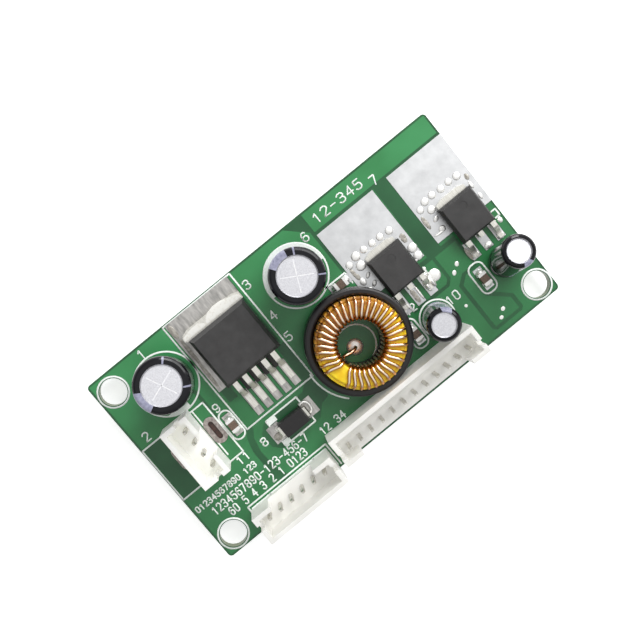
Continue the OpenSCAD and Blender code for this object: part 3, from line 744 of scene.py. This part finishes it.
# The circles are printed a little off the parts that stand in them.
BIG_CAPS = [(9.05, 25.4), (33.2, 25.68)]
BIG_CAP_RING = 4.68
SMALL_CAP = (45.27, 7.97)
COIL_RING = (33.46, 12.5)
LINES = [ring(hole, 2.25, 48) for hole in HOLES]
LINES += [ring(centre, BIG_CAP_RING) for centre in BIG_CAPS]
LINES += [ring(SMALL_CAP, 2.66, 48)]
LINES += [
    circle_points(COIL_RING, 7.77, 18, start=174, sweep=50), ring((33.65, 12.5), 2.94, 48),
    box_line(13.73, 12.99, 25.98, 31.94),
    box_line(0.2, 10.92, 11.3, 20.1), [(9.3, 12.0), (9.3, 20.0)],
    rounded_box(11.5, 12.5, 13.42, 17.32, 0.9),
    rounded_box(40.15, 5.9, 42.4, 10.65, 1.0),
    rounded_box(52.75, 5.86, 55.25, 10.78, 1.0),
    [(35.2, 21.6), (38.85, 21.6), (38.85, 19.8)],
    [(16.5, 11.2), (16.5, 12.15), (22.1, 12.15), (22.1, 11.2)],
    [(16.5, 8.45), (16.5, 7.63), (22.1, 7.63), (22.1, 8.45)],
    [(6.55, 3.0), (6.55, 4.1), (21.05, 4.1), (21.05, 0.4)], [(7.0, 3.55), (20.6, 3.55), (20.6, 0.6)],
    [(48.15, 13.9), (48.15, 15.0)], [(60.9, 15.0), (61.6, 15.0), (61.6, 13.9), (60.9, 13.9)]]
LINES += [[(x, 3.1), (x, 3.6)] for x in (7.92, 9.89, 10.33, 15.45, 15.84, 16.53, 17.02, 18.3, 18.8)]

# Plain numerals stand where boards of this kind number their parts and pins:
# (text, left, foot, height, and for a close-set row its step from mark to mark).
LABELS = [
    ("1", 8.6, 30.3, 1.35), ("2", 1.6, 20.75, 1.3), ("3", 26.5, 28.5, 1.3), ("4", 26.6, 22.7, 1.35),
    ("5", 26.4, 19.0, 1.3), ("6", 37.2, 28.5, 1.35), ("7", 50.0, 28.6, 1.35), ("8", 14.1, 9.4, 1.2),
    ("9", 11.9, 17.6, 1.2), ("10", 47.8, 8.2, 1.3), ("11", 9.7, 9.6, 1.2), ("12", 42.0, 10.9, 1.1),
    ("01234567890 123", 0.6, 8.05, 0.85, 0.74), ("1234567890-123-456-7", 2.35, 6.2, 1.2, 0.88),
    ("60 5 4 3 2 1 0123", 4.2, 4.6, 1.2, 0.84), ("12 34", 21.7, 5.3, 1.15, 0.92),
    ("12-345", 40.2, 29.55, 1.4, 1.5)]
MARKS = [stroke for label in LABELS for stroke in numerals(*label)]

# A pen line swept along loose edges, with eased corners and a round dot at each end. The dots are a
# little thinner than the line, so that their faces don't coincide.
EASE_SHARE = 0.35
DOT_SHARE = 0.86
ink_tree, start = new_tree("printed_line", {"Line width": 0.2 * MM, "Ink thickness": INK_THICK * MM})
path = add(ink_tree, "GeometryNodeMeshToCurve", {"Mesh": start["Geometry"]}).outputs[0]
half = add(ink_tree, "ShaderNodeMath", {0: start["Line width"], 1: 0.5}, operation="MULTIPLY").outputs[0]
round_off = add(ink_tree, "ShaderNodeMath", {0: half, 1: EASE_SHARE}, operation="MULTIPLY").outputs[0]
eased = add(ink_tree, "GeometryNodeFilletCurve", {
    "Curve": path, "Count": 2, "Radius": round_off, "Limit Radius": True}, mode="POLY").outputs[0]
level = add(ink_tree, "GeometryNodeSetCurveNormal", {"Curve": eased}, mode="Z_UP").outputs[0]
nib = add(ink_tree, "GeometryNodeCurvePrimitiveQuadrilateral", {
    "Width": start["Line width"], "Height": start["Ink thickness"]}).outputs[0]
stroke = add(ink_tree, "GeometryNodeCurveToMesh", {
    "Curve": level, "Profile Curve": nib, "Fill Caps": True}).outputs[0]
dot_depth = add(ink_tree, "ShaderNodeMath", {
    0: start["Ink thickness"], 1: DOT_SHARE}, operation="MULTIPLY").outputs[0]
dot = add(ink_tree, "GeometryNodeMeshCylinder", {
    "Vertices": 16, "Radius": half, "Depth": dot_depth}).outputs["Mesh"]
ends = add(ink_tree, "GeometryNodeCurveEndpointSelection").outputs[0]
dots = add(ink_tree, "GeometryNodeInstanceOnPoints", {
    "Points": level, "Selection": ends, "Instance": dot}).outputs[0]
joined = add(ink_tree, "GeometryNodeJoinGeometry")
ink_tree.links.new(stroke, joined.inputs[0])
ink_tree.links.new(dots, joined.inputs[0])
close_tree(ink_tree, joined.outputs[0], legend_ink)

ink_level = INK_LIFT + INK_THICK / 2
LAYER_STEP = 0.0016
for name, lines, width in (("printed_legend_lines", LINES, 0.25), ("printed_legend_numerals", MARKS, 0.2)):
    # Each stroke lies a little higher than the last, in steps that start again after five, so that few
    # top faces coincide where strokes cross.
    strokes = polylines(name + "_strokes", [
        [on_board(x, y, ink_level + LAYER_STEP * (i % 5)) for x, y in line]
        for i, line in enumerate(lines)])
    keep(grown(name, strokes, ink_tree, {"Line width": width * MM}))

# Solid printed fields: the shaded side of each large capacitor's circle and the diode's bars.
fields = [circle_points(BIG_CAPS[0], BIG_CAP_RING, 24, start=232, sweep=46) + [(9.7, 21.65)],
          circle_points(BIG_CAPS[1], BIG_CAP_RING, 40, start=-6, sweep=192),
          box_points(16.4, 11.3, 18.0, 12.15), box_points(16.4, 7.6, 17.65, 8.4)]
added("printed_legend_fields", plates("legend_fields", fields, INK_LIFT, INK_LIFT + INK_THICK * 0.9),
      legend_ink)

# ---- Winding --------------------------------------------------------------------------------------

PAD_T = 0.08
WIRE_R = 0.255
TURNS = 36
core_low, core_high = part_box("inductor_core")
core_left, core_front, core_right, core_rear = flat_box(core_low, core_high)
COIL_AT = ((core_left + core_right) / 2, (core_front + core_rear) / 2)
CORE_INNER = 3.75
CORE_OUTER = (core_right - core_left) / 2
CORE_BOTTOM = (core_low.z - board_high.z) / MM - PAD_T
CORE_TOP = (core_high.z - board_high.z) / MM - PAD_T
# The wire bends round the middles of four quarter circles, one inside each corner of the section.
BEND_INSET = 0.5
WIRE_OFF_CORE = 0.31
BEND = BEND_INSET + WIRE_OFF_CORE
CORE_IN, CORE_OUT = CORE_INNER + BEND_INSET, CORE_OUTER - BEND_INSET
CORE_FLOOR, CORE_CEILING = CORE_BOTTOM + BEND_INSET, CORE_TOP - BEND_INSET
FIRST_TURN = 213
WOUND_DEGREES = 337.3
TURN_STEP = WOUND_DEGREES / TURNS
PUSH_AT, PUSH_REACH, PUSH_DEGREES = 13.5, 4, 5
LEAN_FIRST, LEAN_CHANGE = -5.5, 11.5
OUTER_LEAD = (5.6, 207)
INNER_LEAD = (1.08, 221)
start_foot = (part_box("inductor_winding")[0].z - board_high.z) / MM - PAD_T


def about_coil(radius, angle, z):
    """A place by its distance and degrees round the coil's axis, lifted above the pads."""
    turn = math.radians(angle)
    return on_board(COIL_AT[0] + radius * math.cos(turn), COIL_AT[1] + radius * math.sin(turn), PAD_T + z)


def wire_bend(radius, z, angle, first):
    """A quarter circle of wire round one edge of the core's section."""
    return [about_coil(radius + BEND * math.cos(turn), angle, z + BEND * math.sin(turn))
            for turn in (math.radians(first + step) for step in (0, 22, 45, 68, 90))]


wire = [about_coil(*OUTER_LEAD, start_foot), about_coil(*OUTER_LEAD, 0.84), about_coil(5.6, 208.5, 1.23)]
for i in range(TURNS):
    # The turns are laid by hand. Near the fourteenth they are pushed along a little, so they stand
    # wider before it and closer after it. They lean one way at the start and the other at the end.
    push = PUSH_DEGREES * math.exp(-((i - PUSH_AT) / PUSH_REACH) ** 2)
    outer = FIRST_TURN + TURN_STEP * i + push
    inner = outer + LEAN_FIRST + LEAN_CHANGE * i / (TURNS - 1)
    wire += wire_bend(CORE_OUT, CORE_FLOOR, outer, -90) + wire_bend(CORE_OUT, CORE_CEILING, outer, 0)
    wire += wire_bend(CORE_IN, CORE_CEILING, inner, 90)
    if i < TURNS - 1:
        wire += wire_bend(CORE_IN, CORE_FLOOR, inner, 180)
wire += [about_coil(CORE_IN - BEND, inner, CORE_FLOOR - 0.2),
         about_coil(CORE_IN - BEND - 0.3, inner + 3, 1.34), about_coil(2, 203, 1.35),
         about_coil(1.33, 217, 1.15), about_coil(*INNER_LEAD, 0.85), about_coil(*INNER_LEAD, start_foot)]

CORE_SECTION = box_points(CORE_INNER, CORE_BOTTOM, CORE_OUTER, CORE_TOP)
CORE_CORNER = 0.22


def lathe(name, section, corner, around=96):
    """A ring turned about the coil's axis from a four-sided section with rounded corners."""
    outline = []
    for (r, z), first in zip(section, (180, 270, 0, 90)):
        middle_r = r + (corner if first in (180, 90) else -corner)
        middle_z = z + (corner if first in (180, 270) else -corner)
        outline += circle_points((middle_r, middle_z), corner, 3, first, 90)
    form = bmesh.new()
    rows = [[form.verts.new(about_coil(r, 360 * k / around, z)) for r, z in outline]
            for k in range(around)]
    for k in range(around):
        one, two = rows[k], rows[(k + 1) % around]
        for j in range(len(outline)):
            n = (j + 1) % len(outline)
            form.faces.new([one[j], two[j], two[n], one[n]])
    bmesh.ops.recalc_face_normals(form, faces=form.faces)
    mesh = bpy.data.meshes.new(name)
    form.to_mesh(mesh)
    form.free()
    mesh.shade_smooth()
    return mesh


core = added("coated_core", lathe("coated_core", CORE_SECTION, CORE_CORNER), core_coat)
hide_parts("inductor_core")
# Varnish has run down between the turns and fills the gaps at the coil's outer edge.
VARNISH_SECTION = box_points(6.0, 2.6, 6.48, 5.98)
VARNISH_CORNER = 0.12
added("varnish_between_turns", lathe("varnish_ring", VARNISH_SECTION, VARNISH_CORNER), core_coat)

# A round bar swept along loose edges; ends are closed flat.
bar_tree, start = new_tree("round_bar", {"Bar radius": WIRE_R * MM, "Sides": 10})
path = add(bar_tree, "GeometryNodeMeshToCurve", {"Mesh": start["Geometry"]}).outputs[0]
section = add(bar_tree, "GeometryNodeCurvePrimitiveCircle", {
    "Resolution": start["Sides"], "Radius": start["Bar radius"]}).outputs[0]
bar = add(bar_tree, "GeometryNodeCurveToMesh", {
    "Curve": path, "Profile Curve": section, "Fill Caps": True}).outputs[0]
smooth = add(bar_tree, "GeometryNodeSetShadeSmooth", {"Geometry": bar}).outputs[0]
close_tree(bar_tree, smooth, enamelled_wire)
winding = keep(grown("toroid_winding", polylines("wire_path", [wire]), bar_tree))
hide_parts("inductor_winding")

# ---- Solder, flux and small fillets ---------------------------------------------------------------

# Lumps in board millimetres: (x, y, half length along X, half length along Y, height, lift, heading).
LUMPS = [
    # Rear row and left side beside the middle regulator.
    (47.6, 22.25, 0.6, 0.6, 0.15, 0, 0), (46.0, 22.4, 0.56, 0.56, 0.14, 0, 0),
    (44.55, 22.4, 0.56, 0.56, 0.14, 0, 0), (43.05, 22.45, 0.56, 0.56, 0.14, 0, 0),
    (41.55, 22.4, 0.72, 0.7, 0.17, 0, 0), (41.3, 20.9, 0.79, 0.74, 0.18, 0, 0),
    (40.0, 21.95, 0.56, 0.58, 0.13, 0, 0), (40.1, 18.9, 0.5, 0.62, 0.15, 0, 0),
    (41.25, 19.2, 0.52, 0.28, 0.15, 0, 35), (41.25, 17.7, 0.55, 0.34, 0.15, 0, 35),
    (40.1, 17.3, 0.58, 0.49, 0.11, 0, 0),
    # Its right side and the large lump in front.
    (48.7, 18.2, 0.77, 0.72, 0.17, 0, 0), (48.65, 16.8, 0.72, 0.67, 0.16, 0, 0),
    (48.0, 16.45, 0.5, 0.2, 0.11, 0, 0), (48.15, 14.75, 0.32, 0.28, 0.1, -0.08, 0),
    (48.75, 13.1, 1.0, 0.98, 0.21, -0.08, 0),
    # Its solder fillets: right lead, middle stub, left lead.
    (46.95, 12.6, 0.42, 1.0, 0.62, 0, 4), (47.9, 12.7, 0.4, 1.05, 0.5, 0, 4),
    (47.5, 14.05, 0.75, 0.42, 0.6, 0, 0), (45.45, 12.6, 0.2, 1.3, 0.13, 0, 0),
    (44.85, 14.05, 0.5, 0.34, 1, 0.25, 0), (42.55, 14.15, 0.5, 0.42, 0.7, 0, 0),
    (42.95, 12.3, 0.2, 1.15, 0.15, 0, 4), (42.1, 12.0, 0.3, 0.8, 0.1, 0, 0),
    # Round the right-hand regulator.
    (60.1, 22.2, 0.63, 0.6, 0.15, 0, 0), (58.65, 22.3, 0.56, 0.56, 0.14, 0, 0),
    (57.15, 22.2, 0.6, 0.58, 0.15, 0, 0), (55.6, 22.3, 0.6, 0.58, 0.15, 0, 0),
    (54.2, 22.2, 0.63, 0.6, 0.15, 0, 0), (54.25, 20.7, 0.65, 0.63, 0.16, 0, 0),
    (52.95, 21.65, 0.56, 0.56, 0.13, 0, 0), (53.95, 19.25, 0.52, 0.36, 0.14, 0, 20),
    (53.8, 17.6, 0.56, 0.51, 0.14, 0, 0), (53.2, 17.3, 1.0, 0.2, 0.1, 0, -5),
    (61.0, 19.9, 0.3, 0.62, 0.11, 0, 0), (61.1, 17.8, 0.3, 0.55, 0.11, 0, 0),
    (55.3, 13.5, 0.55, 0.36, 0.9, 0.1, 0), (57.55, 13.5, 0.55, 0.36, 0.9, 0.1, 0),
    (59.95, 13.65, 0.6, 0.4, 0.9, 0.1, 0), (55.3, 11.6, 0.62, 0.5, 0.21, 0, 0),
    (57.55, 11.5, 0.62, 0.5, 0.21, 0, 0), (59.85, 11.5, 0.65, 0.55, 0.21, 0, 0),
    (61.2, 13.3, 0.4, 0.5, 0.15, -0.08, 0),
    # Filled vias.
    (52.3, 12.3, 0.46, 0.38, 0.08, -0.08, 50), (51.2, 11.5, 0.44, 0.36, 0.08, -0.08, 50),
    (49.6, 6.65, 0.36, 0.34, 0.06, -0.08, 0), (53.55, 2.9, 0.44, 0.4, 0.06, -0.08, 0),
    (52.55, 2.0, 0.42, 0.36, 0.06, -0.08, 0),
    # The coil's inner lead stands in this one.
    (33.29, 12.35, 1.3, 1.28, 0.5, -0.08, 0),
    # Diode: the left terminal's lump.
    (17.1, 10.3, 0.5, 0.3, 0.2, 0.12, 45),
]
CHIPS = [(12.65, 14.9, 90), (41.28, 8.27, 90), (54.03, 8.2, 90), (37.35, 20.72, 0)]
CHIP_HALF_LONG = 1.0
CHIP_HALF_WIDE = 0.63
FILLET_HALF_LONG = 0.52
FILLET_OVERHANG = 0.06
FILLET_HEIGHT = 0.98
for x, y, heading in CHIPS:
    # A bright fillet at each end of each chip.
    for reach in (-CHIP_HALF_LONG, CHIP_HALF_LONG):
        turn = math.radians(heading)
        LUMPS.append((x + reach * math.cos(turn), y + reach * math.sin(turn),
                      FILLET_HALF_LONG, CHIP_HALF_WIDE + FILLET_OVERHANG, FILLET_HEIGHT, 0, heading))

# Dull grey-brown smears on the tin, in the same form; several lie along the left sides of the regulator
# bodies.
SMEARS = [(39.8, 20.75, 0.3, 0.75, 0.05, 0, 0), (48.55, 20.1, 0.45, 0.8, 0.05, 0, 0),
          (52.45, 19.7, 0.35, 1.1, 0.05, 0, 0), (61.2, 21.2, 0.35, 0.5, 0.05, 0, 0),
          (44.7, 12.5, 0.42, 1.2, 0.06, 0, 0), (54.55, 12.3, 0.3, 1.1, 0.05, 0, 0),
          (14.55, 30.5, 0.45, 1.2, 0.05, 0, 0), (14.6, 26.6, 0.3, 2.6, 0.04, 0, 0),
          (14.5, 22.4, 0.26, 2.4, 0.04, 0, 0), (47.3, 13.2, 0.28, 0.26, 0.72, 0, 0),
          (39.95, 19.9, 0.35, 0.5, 0.05, 0, 0), (16.6, 9.3, 0.75, 0.6, 0.2, 0, 0)]

lump_tree, start = new_tree("solder_lumps", {
    "Around": 20, "Rings": 10, "Ripple": 0.05 * MM, "Ripple scale": 900.0})
ball = add(lump_tree, "GeometryNodeMeshUVSphere", {
    "Segments": start["Around"], "Rings": start["Rings"], "Radius": 1.0}).outputs["Mesh"]
extent = add(lump_tree, "GeometryNodeInputNamedAttribute", {"Name": "extent"}, data_type="FLOAT_VECTOR")
turn = add(lump_tree, "GeometryNodeInputNamedAttribute", {"Name": "turn"}, data_type="FLOAT_VECTOR")
spots = add(lump_tree, "GeometryNodeMeshToPoints", {"Mesh": start["Geometry"]}).outputs[0]
lumps = add(lump_tree, "GeometryNodeInstanceOnPoints", {
    "Points": spots, "Instance": ball, "Rotation": turn.outputs["Attribute"],
    "Scale": extent.outputs["Attribute"]}).outputs[0]
lumps = add(lump_tree, "GeometryNodeRealizeInstances", {"Geometry": lumps}).outputs[0]
# A low ripple along the normal keeps the lumps from being perfect.
wobble = add(lump_tree, "ShaderNodeTexNoise", {
    "Scale": start["Ripple scale"], "Detail": 1.0}, noise_dimensions="3D").outputs["Fac"]
wobble = add(lump_tree, "ShaderNodeMath", {0: wobble, 1: 0.5}, operation="SUBTRACT").outputs[0]
wobble = add(lump_tree, "ShaderNodeMath", {0: wobble, 1: start["Ripple"]}, operation="MULTIPLY").outputs[0]
normal = add(lump_tree, "GeometryNodeInputNormal").outputs[0]
shift = add(lump_tree, "ShaderNodeVectorMath", {0: normal, "Scale": wobble}, operation="SCALE").outputs[0]
lumps = add(lump_tree, "GeometryNodeSetPosition", {"Geometry": lumps, "Offset": shift}).outputs[0]
lumps = add(lump_tree, "GeometryNodeSetShadeSmooth", {"Geometry": lumps}).outputs[0]
close_tree(lump_tree, lumps, solder)


def lump_points(name, places):
    """One vertex per lump, with its half sizes and its turn kept beside it."""
    mesh = bpy.data.meshes.new(name)
    mesh.from_pydata([on_board(x, y, PAD_T + lift) for x, y, _, _, _, lift, _ in places], [], [])
    extent = mesh.attributes.new("extent", "FLOAT_VECTOR", "POINT")
    turn = mesh.attributes.new("turn", "FLOAT_VECTOR", "POINT")
    for i, (_, _, along, across, height, _, heading) in enumerate(places):
        extent.data[i].vector = (along * MM, across * MM, height * MM)
        turn.data[i].vector = (0, 0, math.radians(heading))
    return mesh


bumps = keep(grown("solder_lumps", lump_points("lump_places", LUMPS), lump_tree))
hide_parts("solder_bumps")
smears = grown("grey_brown_smears", lump_points("smear_places", SMEARS), lump_tree, {
    "Ripple": 0.16 * MM, "Ripple scale": 2600.0})
keep(paint(smears, grey_brown_glaze))

# Diode: a smooth bead of solder hooked round the right terminal.
HOOK = [(21.7, 10.9), (22.1, 11.05), (22.5, 11.0), (22.8, 10.7), (22.95, 10.2), (22.9, 9.7),
        (22.7, 9.3), (22.35, 9.1)]
bead = grown("terminal_bead", polylines("bead_path", [[on_board(x, y, 0.42) for x, y in HOOK]]), bar_tree,
             {"Bar radius": 0.2 * MM})
keep(paint(bead, solder))

# Solder that ran over the large tab in two humps with a notch between them.
TAB_TOP = 1.36
HUMPS = [(15.0, 28.3), (25.35, 28.3), (25.3, 28.9), (24.6, 29.35), (23.5, 29.6), (22.3, 29.85),
         (21.15, 29.9), (20.0, 29.65), (19.4, 29.3), (19.0, 28.75), (18.7, 29.05), (18.2, 29.4),
         (17.4, 29.45), (16.6, 29.4), (15.7, 29.2), (15.05, 29.05)]
tab_run = added("tab_solder_run", plates("tab_run", [HUMPS], PAD_T, TAB_TOP), tab_solder)
soften = tab_run.modifiers.new("round_off", "BEVEL")
soften.width = 0.12 * MM
soften.segments = 2
soften.limit_method = "ANGLE"
applied(tab_run)

# Painted shade between the large leads, just in front of the body: dark patches where the body and leads
# shade the board.
LEAD_GAPS = [17.9, 19.55, 21.2, 22.85]
SHADE_HALF = 0.42
SHADE_FRONT, SHADE_REAR = 17.3, 19.6
shade_patches = [rounded_box(x - SHADE_HALF, SHADE_FRONT, x + SHADE_HALF, SHADE_REAR, 0.3) for x in LEAD_GAPS]
added("painted_shade_patches", plates("shade_patches", shade_patches, low=0.0, high=0.12), painted_shade_film)

# A dark brown fill in the plated slots, a little below the board's top.
SLOT_REACH = 1.49
SLOT_FILL_R = 0.39
filled = []
for low, high in solid_boxes("plated_slots"):
    left, front, right, rear = flat_box(low, high)
    middle = (front + rear) / 2
    filled.append(stadium((left + right) / 2, middle - SLOT_REACH, middle + SLOT_REACH, SLOT_FILL_R))
added("slot_fill_plugs", plates("slot_fill_plugs", filled, low=-0.6, high=-0.25), slot_fill)

# Bright strips pressed into the scored vents of the large cans: (base centre, lean, scores).
VENTS = [((9.28, 25.4), (0.85, 0.93), (20, 114)), ((33.17, 25.78), (-0.18, 0.4), (65, 150))]
CAN_R, CAN_H = 3.9, 11.5
CAN_LIFT = 0.02
STRIP_DEPTH = 0.32
STRIP_SIZE = (4.6 * MM, 0.16 * MM, 0.06 * MM, 1)


def vent_strips():
    """Every strip as a thin box laid on its leaning can's top."""
    strips = bmesh.new()
    for (x, y), (dx, dy), scores in VENTS:
        tilt = math.asin(math.hypot(dx, dy) / CAN_H)
        heading = math.atan2(dy, dx)
        stand = (Matrix.Translation(on_board(x, y, CAN_R * math.sin(tilt) + CAN_LIFT)) @
                 Matrix.Rotation(heading, 4, "Z") @ Matrix.Rotation(tilt, 4, "Y") @
                 Matrix.Rotation(-heading, 4, "Z"))
        for score in scores:
            strip = bmesh.ops.create_cube(strips, size=1.0)["verts"]
            laid = (stand @ Matrix.Rotation(math.radians(score), 4, "Z") @
                    Matrix.Translation((0, 0, (CAN_H - STRIP_DEPTH) * MM)) @ Matrix.Diagonal(STRIP_SIZE))
            bmesh.ops.transform(strips, matrix=laid, verts=strip)
    mesh = bpy.data.meshes.new("vent_strips")
    strips.to_mesh(mesh)
    strips.free()
    return mesh


added("burnished_vent_scores", vent_strips(), vent_metal)

bpy.context.view_layer.update()
